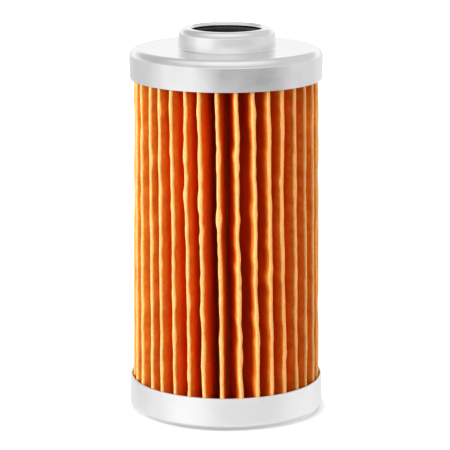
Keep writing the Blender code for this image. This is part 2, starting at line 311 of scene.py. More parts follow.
def turned(name, outline, surface, steps=ROUND, reshape=None):
    """Turns a closed outline of (radius, height) about Z, and lets reshape move each point."""
    vertices = []
    faces = []
    count = len(outline)
    for step in range(steps):
        azimuth = math.tau * step / steps
        for radius, height in outline:
            point = Vector(on_ring(radius, azimuth, height))
            vertices.append(reshape(point) if reshape else point)
    for step in range(steps):
        here = step * count
        after = (step + 1) % steps * count
        for index in range(count):
            other = (index + 1) % count
            faces.append((here + index, after + index, after + other, here + other))
    return mesh_object(name, vertices, faces, surface)


def hand_pressed(depth, size, seed):
    """A reshape for pressed sheet: slow dents of some depth, one about every size, and less deep along Z."""
    shift = Vector((seed, seed * 0.7, seed * 0.3))
    rise = depth * 0.7
    dents_per_radian = 1.2

    def reshape(point):
        out = Vector((point.x, point.y, 0.0)).normalized()
        wave = noise.noise(point / size + shift)
        azimuth = math.atan2(point.x, -point.y)
        ring = noise.noise(Vector((azimuth * dents_per_radian, point.z / size, seed)))
        return point + out * (depth * wave) + Vector((0.0, 0.0, rise * ring))

    return reshape


def place(piece, body, slot, *nodes):
    """Puts a finished piece on its body, for the CAD nodes that it stands for."""
    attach(piece, body)
    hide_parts(*nodes)
    return piece


# ---------------------------------------------------------------- materials
# Noise scales are per metre, so that 1000.0 gives marks about a millimetre across.

class Nodes:
    """Short ways to build a node tree around one set of coordinates."""

    def __init__(self, tree, coordinates):
        self.tree = tree
        self.place = tree.nodes.new("ShaderNodeTexCoord").outputs[coordinates]

    def link(self, output, target):
        self.tree.links.new(output, target)

    def set_or_link(self, socket, value):
        if isinstance(value, (int, float)):
            socket.default_value = value
        elif isinstance(value, tuple):
            socket.default_value = (*value, 1.0)
        else:
            self.link(value, socket)

    def stretched(self, scale):
        """The coordinates, scaled along each axis."""
        node = self.tree.nodes.new("ShaderNodeMapping")
        node.inputs["Scale"].default_value = scale
        self.link(self.place, node.inputs["Vector"])
        return node.outputs["Vector"]

    def axes(self):
        node = self.tree.nodes.new("ShaderNodeSeparateXYZ")
        self.link(self.place, node.inputs["Vector"])
        return node.outputs["X"], node.outputs["Y"], node.outputs["Z"]

    def distance_from_axis(self):
        node = self.tree.nodes.new("ShaderNodeVectorMath")
        node.operation = "LENGTH"
        self.link(self.stretched((1.0, 1.0, 0.0)), node.inputs[0])
        return node.outputs["Value"]

    def radial(self, around_scale, radius_scale, height_scale):
        """Coordinates (angle, radius, height) about Z, for marks that run round the axis."""
        x, y, z = self.axes()
        join = self.tree.nodes.new("ShaderNodeCombineXYZ")
        self.link(self.math("MULTIPLY", self.math("ARCTAN2", y, x), around_scale), join.inputs["X"])
        self.link(self.math("MULTIPLY", self.distance_from_axis(), radius_scale), join.inputs["Y"])
        self.link(self.math("MULTIPLY", z, height_scale), join.inputs["Z"])
        return join.outputs["Vector"]

    def math(self, operation, first, second=0.0):
        node = self.tree.nodes.new("ShaderNodeMath")
        node.operation = operation
        self.set_or_link(node.inputs[0], first)
        self.set_or_link(node.inputs[1], second)
        return node.outputs["Value"]

    def noise(self, coordinates, scale, detail=3.0, roughness=0.5):
        node = self.tree.nodes.new("ShaderNodeTexNoise")
        node.inputs["Scale"].default_value = scale
        node.inputs["Detail"].default_value = detail
        node.inputs["Roughness"].default_value = roughness
        self.link(coordinates, node.inputs["Vector"])
        return node.outputs["Fac"]

    def between(self, value, low, high, to_low=0.0, to_high=1.0, smooth=False):
        """Maps a range of value onto another, and holds it there."""
        node = self.tree.nodes.new("ShaderNodeMapRange")
        node.interpolation_type = "SMOOTHSTEP" if smooth else "LINEAR"
        for socket, setting in zip(node.inputs, (value, low, high, to_low, to_high)):
            self.set_or_link(socket, setting)
        return node.outputs["Result"]

    def mix(self, share, first, second):
        """Mixes two colours, each a colour or an output."""
        node = self.tree.nodes.new("ShaderNodeMix")
        node.data_type = "RGBA"
        colours = [socket for socket in node.inputs if socket.type == "RGBA"]
        self.set_or_link(node.inputs["Factor"], share)
        self.set_or_link(colours[0], first)
        self.set_or_link(colours[1], second)
        return next(socket for socket in node.outputs if socket.type == "RGBA")

    def towards(self, level, target, share):
        """Moves a number towards a target by a share of the way."""
        return self.math("ADD", level, self.math("MULTIPLY", share, self.math("SUBTRACT", target, level)))


class Surface(Nodes):
    """A material with one Principled shader."""

    def __init__(self, name, **constants):
        self.material = bpy.data.materials.new(name)
        self.material.use_nodes = True
        super().__init__(self.material.node_tree, "Object")
        self.shader = self.tree.nodes["Principled BSDF"]
        for socket, value in constants.items():
            self.shader.inputs[socket.replace("_", " ")].default_value = value

    def bump(self, height, depth, strength=1.0, before=None):
        """Raises the surface by height times depth."""
        node = self.tree.nodes.new("ShaderNodeBump")
        node.inputs["Strength"].default_value = strength
        node.inputs["Distance"].default_value = depth
        self.link(height, node.inputs["Height"])
        if before is not None:
            self.link(before, node.inputs["Normal"])
        return node.outputs["Normal"]

    def colour(self, output):
        self.link(output, self.shader.inputs["Base Color"])

    def roughness(self, output):
        self.link(output, self.shader.inputs["Roughness"])

    def normal(self, output):
        self.link(output, self.shader.inputs["Normal"])


def cap_metal(name, light, dark):
    """Satin tinplate: a cloudy tin coat, faint marks of the press around the axis, and fine grain."""
    surface = Surface(name, Metallic=1.0)
    clouds = surface.noise(surface.place, 220.0, 4.0, 0.55)
    grain = surface.noise(surface.place, 6000.0, 2.0)
    marks = surface.noise(surface.radial(3.0, 9000.0, 9000.0), 1.0, 3.0, 0.6)
    cover = surface.math("ADD", clouds, surface.math("MULTIPLY", grain, 0.35))
    surface.colour(surface.mix(surface.between(cover, 0.45, 0.85), dark, light))
    polish = surface.between(clouds, 0.3, 0.7, 0.15, 0.21)
    surface.roughness(surface.math("ADD", polish, surface.math("MULTIPLY", marks, 0.05)))
    fine = surface.bump(grain, 0.003 * MM, 0.5)
    surface.normal(surface.bump(marks, 0.003 * MM, 0.5, before=fine))
    return surface.material


def rolled_steel(name, colour, rough, scale=1.0):
    """Plain rolled sheet or wire: streaks along Z, oil-stained patches, and fine pits."""
    surface = Surface(name, Metallic=1.0)
    across = 5000.0 * scale
    along = 300.0 * scale
    streaks = surface.noise(surface.stretched((across, across, along)), 1.0, 3.0, 0.6)
    patches = surface.noise(surface.place, 260.0 * scale, 4.0, 0.6)
    stained = tuple(channel * 0.62 for channel in colour)
    surface.colour(surface.mix(surface.between(patches, 0.3, 0.75), colour, stained))
    polish = surface.between(patches, 0.3, 0.7, rough, rough + 0.16)
    surface.roughness(surface.math("ADD", polish, surface.math("MULTIPLY", streaks, 0.08)))
    surface.normal(surface.bump(streaks, 0.006 * MM, 0.6))
    return surface.material


def black_rubber(name):
    """Moulded rubber: a fine matt skin, with a slight bloom in patches."""
    surface = Surface(name, Specular_IOR_Level=0.45)
    skin = surface.noise(surface.place, 5200.0, 3.0, 0.6)
    bloom = surface.noise(surface.place, 330.0, 3.0)
    black = (0.010, 0.010, 0.011)
    bloomed = (0.030, 0.029, 0.029)
    surface.colour(surface.mix(surface.between(bloom, 0.35, 0.8), black, bloomed))
    surface.roughness(surface.between(skin, 0.3, 0.7, 0.34, 0.50))
    surface.normal(surface.bump(skin, 0.010 * MM, 0.7))
    return surface.material


def cured_adhesive(name):
    """Amber adhesive that has flowed and set, with dark and clear patches."""
    surface = Surface(name, Subsurface_Weight=0.25,
                      Subsurface_Radius=(1.0, 0.35, 0.1), Subsurface_Scale=0.8 * MM)
    flow = surface.noise(surface.place, 420.0, 4.0, 0.6)
    specks = surface.noise(surface.place, 3000.0, 2.0)
    dark = (0.10, 0.035, 0.010)
    clear = (0.33, 0.13, 0.035)
    surface.colour(surface.mix(surface.between(flow, 0.3, 0.7), dark, clear))
    surface.roughness(surface.between(specks, 0.3, 0.7, 0.22, 0.42))
    surface.normal(surface.bump(flow, 0.10 * MM, 0.8))
    return surface.material


def filter_paper(name):
    """Resin-cured orange paper, its colour graded by depth below the fold tips: cream at the tips is painted
    highlight, and the darker red-amber down the walls is painted shade.
    """
    surface = Surface(name, Specular_IOR_Level=0.2, Subsurface_Weight=0.40,
                      Subsurface_Radius=(1.0, 0.30, 0.08), Subsurface_Scale=0.45 * MM)
    height = surface.axes()[2]
    tip_radius = surface.math("ADD", surface.math("MULTIPLY", height, TIP_SLOPE), TIP_RADIUS_AT_ZERO)
    depth = surface.math("SUBTRACT", tip_radius, surface.distance_from_axis())
    fibres = surface.noise(surface.stretched((5200.0, 5200.0, 1500.0)), 1.0, 4.0, 0.65)
    crossing = surface.noise(surface.stretched((2100.0, 2100.0, 6500.0)), 1.0, 4.0, 0.65)
    mottle = surface.noise(surface.place, 520.0, 4.0, 0.6)
    stain = surface.noise(surface.stretched((260.0, 260.0, 70.0)), 1.0, 3.0, 0.6)
    weave = surface.math("MULTIPLY", surface.math("ADD", fibres, crossing), 0.5)
    ragged = surface.math("MULTIPLY", surface.math("SUBTRACT", mottle, 0.5), 0.35 * MM)
    ragged_depth = surface.math("ADD", depth, ragged)
    # Painted shade: the walls turn darker and redder with depth below the tips, where light bounces and dims
    # in the valleys.
    painted_valley_shade = surface.mix(surface.between(stain, 0.35, 0.65), (0.72, 0.072, 0.002), (0.85, 0.128, 0.004))
    wall = surface.mix(surface.between(mottle, 0.38, 0.62), (0.76, 0.185, 0.015), (0.90, 0.290, 0.028))
    # Painted highlight: the fold tips are a paler cream than the paper's own orange.
    fold = surface.mix(surface.between(mottle, 0.3, 0.7), (0.98, 0.58, 0.19), (0.98, 0.68, 0.27))
    inner = surface.mix(surface.between(depth, 0.7 * MM, 2.6 * MM, smooth=True), wall, painted_valley_shade)
    body = surface.mix(surface.between(ragged_depth, 0.22 * MM, 0.52 * MM, smooth=True), fold, inner)
    fibre_share = surface.between(weave, 0.40, 0.60, 0.0, 0.36)
    surface.colour(surface.mix(fibre_share, body, (0.66, 0.14, 0.012)))
    surface.roughness(surface.between(weave, 0.35, 0.65, 0.50, 0.72))
    coarse = surface.bump(mottle, 0.08 * MM, 0.6)
    surface.normal(surface.bump(weave, 0.030 * MM, 0.8, before=coarse))
    return surface.material


def studio_floor(name):
    """White, faintly grained floor that glows like a lit table, turned down under and close to the element as
    a painted contact shadow.
    """
    surface = Surface(name, Specular_IOR_Level=0.2, Emission_Color=(*WHITE, 1.0))
    # Painted contact shadow: the floor's emission is turned down near the axis.
    glow_with_painted_shadow = surface.between(surface.distance_from_axis(), *PAINTED_SHADOW_SPAN, *FLOOR_GLOW, smooth=True)
    surface.link(glow_with_painted_shadow, surface.shader.inputs["Emission Strength"])
    grain = surface.noise(surface.place, 900.0, 3.0)
    surface.colour(surface.mix(grain, (0.90, 0.90, 0.90), (0.93, 0.93, 0.93)))
    surface.roughness(surface.between(grain, 0.3, 0.7, 0.62, 0.70))
    return surface.material


# ---------------------------------------------------------------- pieces

def upper_cap(surface):
    """Skirt, round shoulder, flat face, and the neck with its rim turned in."""
    radius = upper_high.x
    top = upper_high.z
    shoulder = eased_bend(radius, FACE_Z, SHOULDER_BEND)
    skirt = line((0.0, upper_low.z), (1.0, shoulder[0][1]), 8, GUARD)
    path = [(radius - SKIRT_TAPER * (1 - share) ** 2, height) for share, height in skirt]
    path += shoulder
    foot = (NECK_RADIUS + NECK_FOOT_BEND, FACE_Z + NECK_FOOT_BEND)
    path += line(shoulder[-1], (foot[0], FACE_Z), 10, GUARD)[1:]
    path += arc(foot, NECK_FOOT_BEND, 270, 180, 8)
    neck_top = NECK_RADIUS - NECK_DRAFT
    crown = eased_bend(neck_top, top, RIM_OUTER_BEND)
    path += line((NECK_RADIUS, foot[1]), crown[0], 4, GUARD)[1:] + crown
    path += arc((RIM_HOLE_RADIUS + RIM_INNER_BEND, top - RIM_INNER_BEND), RIM_INNER_BEND, 90, 180, 10)
    dent = hand_pressed(depth=0.05 * MM, size=11 * MM, seed=3.1)

    def reshape(point):
        """Dents the cap, and sets its neck slightly off its middle."""
        share = min(max(1.0 - (math.hypot(point.x, point.y) - foot[0]) / SHIFT_FADE, 0.0), 1.0)
        return dent(point) + Vector((NECK_SHIFT * share, 0.0, 0.0))

    outline = sheet_outline(path, SHEET, edge_bulge=SHEARED_BULGE)
    return turned("upper_cap_shell", outline, surface, reshape=reshape)


def lower_cap(surface):
    """Plain cup: pressed-up middle with the relief hole, standing ring, corner, and skirt up to its lip."""
    radius = lower_high.x
    depth = 2 * RECESS_BEND
    path = line((RELIEF_HOLE_RADIUS, depth), (RECESS_RADIUS, depth), 8, GUARD)
    path += arc((RECESS_RADIUS, RECESS_BEND), RECESS_BEND, 90, 0, 6)
    path += arc((RECESS_RADIUS + 2 * RECESS_BEND, RECESS_BEND), RECESS_BEND, 180, 270, 6)[1:]
    path += line((RECESS_RADIUS + 2 * RECESS_BEND, 0.0), (radius - LOWER_CORNER, 0.0), 5, GUARD)[1:]
    path += arc((radius - LOWER_CORNER, LOWER_CORNER), LOWER_CORNER, 270, 360, 12)
    path += line((radius, LOWER_CORNER), (radius, lower_high.z), 8, GUARD)[1:] + [(radius, lower_high.z)]
    dent = hand_pressed(depth=0.05 * MM, size=12 * MM, seed=8.7)
    full_rise_from = 2 * MM

    def reshape(point):
        """Dents the cap, but keeps the ring that it stands on level."""
        moved = dent(point)
        share = min(1.0, point.z / full_rise_from)
        moved.z = max(point.z + (moved.z - point.z) * share, lower_low.z)
        return moved

    return turned("lower_cap_shell", sheet_outline(path, SHEET), surface, reshape=reshape)


def rounded_ring(name, corners, bends, surface, steps=ROUND):
    """Turns a closed polygon of (radius, height) corners, each rounded by its own bend."""
    bend_steps = 6
    outline = []
    for index, (corner, bend) in enumerate(zip(corners, bends)):
        here = Vector(corner)
        before = Vector(corners[index - 1]) - here
        after = Vector(corners[(index + 1) % len(corners)]) - here
        reach = min(bend, before.length * 0.49, after.length * 0.49)
        first = here + before.normalized() * reach
        last = here + after.normalized() * reach
        for step in range(bend_steps + 1):
            share = step / bend_steps
            point = first * (1 - share) ** 2 + here * 2 * share * (1 - share) + last * share ** 2
            outline.append((point.x, point.y))
    return turned(name, outline, surface, steps)


def seal_ring(surface):
    """Rubber ring in the neck, with a lip at each end of its bore."""
    inner = SEAL_BORE_RADIUS
    outer = seal_high.x
    lip = 0.55 * MM
    bevel = 0.5 * MM
    waist = inner + 0.25 * MM
    corners = [(inner, seal_low.z), (outer, seal_low.z), (outer, seal_high.z - bevel),
               (outer - bevel, seal_high.z), (inner, seal_high.z), (inner, seal_high.z - 2 * lip),
               (waist, seal_high.z - 3 * lip), (waist, seal_low.z + 3 * lip), (inner, seal_low.z + 2 * lip)]
    bends = [0.35 * MM] * 3 + [0.3 * MM] + [0.4 * MM] * 5
    return rounded_ring("neck_seal_ring", corners, bends, surface)


def retainer_ring(surface):
    """Pressed ring under the seal, with its collar turned down into the tube."""
    bore = RETAINER_BORE_RADIUS
    bend = RETAINER_BEND
    top = retainer_high.z
    path = line((retainer_high.x, top), (bore + bend, top), 6)
    path += arc((bore + bend, top - bend), bend, 90, 180, 8) + [(bore, retainer_low.z)]
    return turned("seal_retainer_ring", sheet_outline(path, RETAINER_SHEET), surface)


def glue_surface(level, depth, seed):
    """A reshape that raises and lowers the free face of an adhesive ring at one level."""
    close = 0.05 * MM
    wave_length = 1.6 * MM

    def reshape(point):
        if abs(point.z - level) > close:
            return point
        wave = noise.noise(Vector((point.x, point.y, seed * MM)) / wave_length)
        return point + Vector((0.0, 0.0, depth * wave))

    return reshape


def adhesive_rings(surface):
    """Set adhesive in each cap, which the ends of the pleats stand in."""
    inner = TUBE_RADIUS + 0.15 * MM
    soak = 0.7 * MM
    swell = 0.35 * MM
    outer = upper_glue_high.x
    top = upper_glue_high.z
    bevel = 1.0 * MM
    step = (retainer_high.x + 0.3 * MM, tube_high.z)
    level = upper_glue_low.z - soak
    corners = [(inner, level), (outer, level), (outer, top - bevel), (outer - bevel, top), (step[0], top),
               step, (inner, step[1])]
    free_face = glue_surface(level, swell, 4.0)
    upper = turned("upper_adhesive", densify(corners), surface, reshape=free_face)

    outer = lower_glue_high.x
    bottom = lower_glue_low.z
    ledge = bottom + 1.2 * MM
    level = lower_glue_high.z + soak
    foot = RECESS_RADIUS + 2 * RECESS_BEND
    corners = [(inner, level), (inner, ledge), (foot - 0.2 * MM, ledge), (foot + 0.1 * MM, bottom),
               (outer - 0.8 * MM, bottom), (outer, bottom + 0.7 * MM), (outer, level)]
    free_face = glue_surface(level, swell, 9.0)
    lower = turned("lower_adhesive", densify(corners), surface, reshape=free_face)
    return upper, lower


def densify(corners, spacing=0.5 * MM):
    """A closed outline through the corners, with points no further apart than the spacing."""
    rows = []
    for index, corner in enumerate(corners):
        after = corners[(index + 1) % len(corners)]
        rows += line(corner, after, max(1, math.ceil(math.dist(corner, after) / spacing)))
    return rows


def fold_azimuths():
    """Azimuths in radians of the outer folds at the top, from the seam at the back round to it again."""
    spread = (PLEATS - 1 - len(FRONT_FOLDS)) // 2 + 1
    left = [-180 + (FRONT_FOLDS[0] + 180) * step / spread for step in range(1, spread)]
    right = [FRONT_FOLDS[-1] + (180 - FRONT_FOLDS[-1]) * step / spread for step in range(1, spread)]
    draw = random.Random(11)
    left = [angle + draw.uniform(-FOLD_SCATTER, FOLD_SCATTER) for angle in left]
    right = [angle + draw.uniform(-FOLD_SCATTER, FOLD_SCATTER) for angle in right]
    return np.radians(np.array(left + list(FRONT_FOLDS) + right))


def wander(rows, heights, waves):
    """Slow, uneven waves along the height, from about -1 to 1, with one row for each fold or wall."""
    gain = 1.6
    row_step = 7.31
    seed = waves.seed
    return np.array([[gain * noise.noise(Vector((row * row_step + seed, seed * 1.7, height / waves.length)))
                      for height in heights] for row in range(rows)])


def pleat_lines(heights):
    """The middle line of the folded strip at each height, as points (x, y) from one end of it to the other.

    The ripples fade out at the caps, where the adhesive holds the paper.
    """
    tops = fold_azimuths()
    count = len(tops)
    walls = 2 * (count + 1)
    down = (paper_high.z - heights) / (paper_high.z - paper_low.z)
    lean = np.radians(LEAN + LEAN_SWING * np.cos(tops - math.radians(LEAN_PEAK)))
    fade = np.sin(np.pi * np.clip(down, 0.02, 0.98)) ** 0.35

    folds = tops[:, None] + lean[:, None] * down[None, :] ** 1.15
    long_drift = LONG_DRIFT.size * wander(count, heights, LONG_DRIFT)
    short_drift = SHORT_DRIFT.size * wander(count, heights, SHORT_DRIFT)
    folds += long_drift + short_drift
    tip_radius = TIP_RADIUS_AT_ZERO + TIP_SLOPE * heights - PAPER / 2 - FOLD_RADIUS
    tip_radius = tip_radius - TIP_WOBBLE.size * np.clip(wander(count, heights, TIP_WOBBLE), 0, 1)
    swells = SWELL.size * np.clip(wander(walls, heights, SWELL) - SWELL_FLOOR, 0, SWELL_CEILING) ** 1.2
    ripple = (swells + CRINKLE.size * wander(walls, heights, CRINKLE)) * fade
    bow = BOW.size * wander(walls, heights, BOW) * fade

    seam = math.pi
    ends = np.full((1, len(heights)), seam)
    outer = np.vstack([-ends, folds, ends])
    valleys = (outer[:-1] + outer[1:]) / 2
    valley_radius = VALLEY_RADIUS + PAPER / 2 + VALLEY_BEND
    end_gap = PAPER / 2 + 0.15 * MM
    first = np.array((-end_gap, PAPER_END_RADIUS))
    last = np.array((end_gap, PAPER_END_RADIUS))

    def bend(azimuth, radius, turn, reach, half_width):
        """A point on a fold's bend, at a turn from its left side to its right."""
        out = np.array((math.sin(azimuth), -math.cos(azimuth)))
        side = np.array((math.cos(azimuth), math.sin(azimuth)))
        return out * (radius + reach * math.cos(turn)) + side * half_width * math.sin(turn)

    def wall(start, end, number, level):
        """Points between two bends, on a wall that swells most near its outer fold."""
        run = end - start
        normal = np.array((-run[1], run[0])) / max(np.linalg.norm(run), 1e-9)
        inward = number % 2 == 0
        away = 1.0 if inward else -1.0
        points = []
        for step in range(1, WALL_STEPS):
            share = step / WALL_STEPS
            near_fold = 1 - share if inward else share
            shape = math.sin(math.pi * share) * bow[number, level]
            shape += away * ripple[number, level] * (0.1 + 0.9 * near_fold ** 1.5)
            points.append(start + run * share + normal * shape)
        return points

    fold_turns = np.radians((-90, -42, 0, 42, 90))
    valley_turns = np.radians((-90, 0, 90))
    lines = []
    for level in range(len(heights)):
        points = [first]
        for index in range(count + 1):
            azimuth = valleys[index, level]
            turns = [bend(azimuth, valley_radius, turn, -VALLEY_BEND, VALLEY_BEND) for turn in valley_turns]
            points += wall(points[-1], turns[0], 2 * index, level) + turns
            if index < count:
                sides = ripple[2 * index + 1, level], ripple[2 * index + 2, level]
                azimuth, radius = folds[index, level], tip_radius[index, level]
                turns = []
                for turn in fold_turns:
                    share = (math.sin(turn) + 1) / 2
                    half_width = FOLD_RADIUS + sides[0] * (1 - share) + sides[1] * share
                    turns.append(bend(azimuth, radius, turn, FOLD_RADIUS, half_width))
                points += wall(points[-1], turns[0], 2 * index + 1, level) + turns
        points += wall(points[-1], last, 2 * count + 1, level) + [last]
        lines.append(np.array(points))
    return lines


def pleated_paper(surface):
    """The folded strip: its middle line at each level, thickened both ways and skinned into one solid."""
    heights = np.linspace(paper_low.z, paper_high.z, PAPER_LEVELS)
    lines = pleat_lines(heights)
    width = len(lines[0])
    vertices = []
    for points, height in zip(lines, heights):
        normal = normals_of(points)
        for side in (PAPER / 2, -PAPER / 2):
            vertices.extend((x, y, height) for x, y in points + normal * side)
    faces = []
    for level in range(PAPER_LEVELS - 1):
        for side in (0, 1):
            here = (2 * level + side) * width
            above = (2 * level + 2 + side) * width
            for index in range(width - 1):
                faces.append((here + index, here + index + 1, above + index + 1, above + index))
        for index in (0, width - 1):
            here = 2 * level * width + index
            faces.append((here, here + width, here + 3 * width, here + 2 * width))
    for level in (0, PAPER_LEVELS - 1):
        here = 2 * level * width
        for index in range(width - 1):
            faces.append((here + index, here + index + 1, here + width + index + 1, here + width + index))
    return mesh_object("pleated_paper", vertices, faces, surface, smooth_degrees=180.0)


def extruded_ring(name, levels, outline_at, surface):
    """Skins a closed outline that may change with height, and caps both ends."""
    rings = [[(x, y, height) for x, y in outline_at(height)] for height in levels]
    count = len(rings[0])
    vertices = [point for ring in rings for point in ring]
    faces = [tuple(range(count)), tuple(range((len(rings) - 1) * count, len(rings) * count))]
    for level in range(len(rings) - 1):
        here = level * count
        for index in range(count):
            other = (index + 1) % count
            faces.append((here + index, here + other, here + count + other, here + count + index))
    return mesh_object(name, vertices, faces, surface)


def seam_clip(surface):
    """Channel pressed over the two ends of the paper, nipped in at even steps."""
    thickness = 0.3 * MM
    half = clip_high.x - thickness / 2
    back = clip_high.y
    depth = back - clip_low.y
    bend = 0.45 * MM
    nip_depth = 0.22 * MM
    nip_pitch = 8.0 * MM
    foot = back - depth
    waist = back - depth * 0.6
    hip = back - depth * 0.35
    bend_middle = back - thickness / 2 - bend

    def outline_at(height):
        """The channel's section, whose sides are pinched in most at their foot where there is a nip."""
        nip = nip_depth * max(0.0, math.cos(math.tau * height / nip_pitch)) ** 6
        path = [(half - nip, foot), (half - nip, waist), (half - 0.4 * nip, hip)]
        path += arc((half - bend, bend_middle), bend, 0, 90, 5)
        path += arc((-half + bend, bend_middle), bend, 90, 180, 5)
        path += [(-half + 0.4 * nip, hip), (-half + nip, waist), (-half + nip, foot)]
        normal = normals_of(path)
        outer = np.asarray(path) - normal * thickness / 2
        inner = np.asarray(path) + normal * thickness / 2
        return list(map(tuple, outer)) + list(map(tuple, inner[::-1]))

    levels = np.linspace(clip_low.z, clip_high.z, CLIP_LEVELS)
    return extruded_ring("paper_seam_clip", levels, outline_at, surface)


def perforated_tube(surface):
    """Steel tube made cell by cell, each with a round, slightly dished hole."""
    around = 32
    cell_angle = math.tau / HOLE_COLUMNS
    cell_height = (tube_high.z - tube_low.z) / HOLE_ROWS
    bevel = 0.07 * MM
    on_the_end = 1e-6
    vertices = []
    faces = []

    def add_loop(column, row, shape, radius):
        angle = cell_angle * (column + 0.5)
        height = tube_low.z + cell_height * (row + 0.5)
        first = len(vertices)
        for number in range(around):
            across, up = shape(math.tau * number / around)
            turned_by = angle + across / TUBE_RADIUS
            vertices.append((radius * math.cos(turned_by), radius * math.sin(turned_by), height + up))
        return first

    def circle(radius):
        return lambda turn: (radius * math.cos(turn), radius * math.sin(turn))

    def cell_edge(turn):
        """The cell's border, reached at the same share of each side by every cell."""
        x, y = math.cos(turn), math.sin(turn)
        stretch = 1.0 / max(abs(x), abs(y))
        return (x * stretch * cell_angle * TUBE_RADIUS / 2, y * stretch * cell_height / 2)

    def halfway(turn):
        edge = cell_edge(turn)
        near_hole = circle(HOLE_RADIUS + 0.5 * MM)(turn)
        return ((edge[0] + near_hole[0]) / 2, (edge[1] + near_hole[1]) / 2)

    inner_radius = TUBE_RADIUS - SHEET
    dished = TUBE_RADIUS - 0.02 * MM
    hole = circle(HOLE_RADIUS)
    hole_rim = circle(HOLE_RADIUS + bevel)
    hole_surround = circle(HOLE_RADIUS + 0.35 * MM)
    profile = ((cell_edge, TUBE_RADIUS), (halfway, TUBE_RADIUS), (hole_rim, dished), (hole, dished - bevel),
               (hole, inner_radius - 0.05 * MM), (hole_rim, inner_radius - 0.08 * MM),
               (hole_surround, inner_radius), (halfway, inner_radius), (cell_edge, inner_radius))
    for column in range(HOLE_COLUMNS):
        for row in range(HOLE_ROWS):
            loops = [add_loop(column, row, shape, radius) for shape, radius in profile]
            for first, second in zip(loops, loops[1:]):
                for number in range(around):
                    after = (number + 1) % around
                    faces.append((first + number, first + after, second + after, second + number))
            for number in range(around):
                after = (number + 1) % around
                rim = [vertices[loops[0] + number][2], vertices[loops[0] + after][2]]
                low = row == 0 and max(rim) < tube_low.z + on_the_end
                high = row == HOLE_ROWS - 1 and min(rim) > tube_high.z - on_the_end
                if low or high:
                    faces.append((loops[0] + number, loops[0] + after, loops[-1] + after, loops[-1] + number))
    return mesh_object("perforated_tube", vertices, faces, surface, smooth_degrees=50.0)


def carve(piece, cutters):
    """Cuts boxes out of a piece and leaves no modifier behind."""
    for cutter in cutters:
        cut = piece.modifiers.new(cutter.name, "BOOLEAN")
        cut.operation = "DIFFERENCE"
        cut.object = cutter
    view = bpy.context.evaluated_depsgraph_get()
    carved = bpy.data.meshes.new_from_object(piece.evaluated_get(view))
    piece.modifiers.clear()
    piece.data = carved
    for cutter in cutters:
        bpy.data.objects.remove(cutter, do_unlink=True)


def rounded_box(name, size, middle, bend, surface):
    """A box with rounded edges."""
    bm = bmesh.new()
    bmesh.ops.create_cube(bm, size=1.0)
    bmesh.ops.scale(bm, vec=size, verts=bm.verts)
    bmesh.ops.bevel(bm, geom=list(bm.edges), offset=bend, segments=4, affect="EDGES", profile=0.5)
    bmesh.ops.translate(bm, vec=middle, verts=bm.verts)
    mesh = bpy.data.meshes.new(name)
    bm.to_mesh(mesh)
    bm.free()
    mesh.shade_smooth()
    mesh.materials.append(surface)
    piece = bpy.data.objects.new(name, mesh)
    bpy.context.scene.collection.objects.link(piece)
    return piece


def cage(surface):
    """Pressed cage with four legs, a flange under the tube, and a guide hole in its top."""
    bend = CAGE_BEND
    flange_top = cage_low.z + SHEET
    top = cage_high.z
    path = line((cage_high.x, flange_top), (CAGE_RADIUS + bend, flange_top), 4)
    path += arc((CAGE_RADIUS + bend, flange_top + bend), bend, 270, 180, 6)
    path += line((CAGE_RADIUS, flange_top + bend), (CAGE_RADIUS, top - bend), 12)[1:]
    path += arc((CAGE_RADIUS - bend, top - bend), bend, 0, 90, 8)
    path += line((CAGE_RADIUS - bend, top), (GUIDE_HOLE_RADIUS, top), 6)[1:] + [(GUIDE_HOLE_RADIUS, top)]
    piece = turned("relief_valve_cage", sheet_outline(path, SHEET), surface, steps=SMALL_ROUND)
    middle = (0.0, 0.0, (WINDOW_LOW_Z + WINDOW_TOP_Z) / 2)
    height = WINDOW_TOP_Z - WINDOW_LOW_Z
    length = 2 * cage_high.x + 2 * MM
    cutters = [rounded_box("window_x", (length, WINDOW_WIDTH, height), middle, WINDOW_BEND, surface),
               rounded_box("window_y", (WINDOW_WIDTH, length, height), middle, WINDOW_BEND, surface)]
    carve(piece, cutters)
    piece.data.set_sharp_from_angle(angle=math.radians(40))
    return piece


def valve_pieces(steel, rubber):
    """Facing, dished disc and riveted stem of the relief valve."""
    bore = STEM_RADIUS + 0.3 * MM
    corners = [(bore, facing_low.z), (facing_high.x, facing_low.z), (facing_high.x, facing_high.z),
               (bore, facing_high.z)]
    facing = rounded_ring("relief_valve_facing", corners, [0.2 * MM] * 4, rubber, SMALL_ROUND)
    bend = DISC_BEND
    path = line((bore, disc_low.z), (disc_high.x - bend, disc_low.z), 8)
    path += arc((disc_high.x - bend, disc_low.z + bend), bend, 270, 360, 8)
    path += [(disc_high.x, disc_high.z)]
    disc = turned("relief_valve_disc", sheet_outline(path, SHEET), steel, SMALL_ROUND)
    head = stem_high.x
    head_top = stem_low.z + 0.6 * MM
    pin_end = stem_high.z
    bend = 0.3 * MM
    near_axis = 0.02 * MM
    outline = [(near_axis, stem_low.z)] + arc((head - 0.35 * MM, stem_low.z + bend), bend, 270, 430, 10)
    outline += [(STEM_RADIUS + 0.2 * MM, head_top), (STEM_RADIUS, head_top + 0.15 * MM)]
    outline += arc((STEM_RADIUS - bend, pin_end - bend), bend, 0, 90, 6) + [(near_axis, pin_end)]
    stem = turned("relief_valve_stem", outline, steel, STEM_ROUND)
    return facing, disc, stem


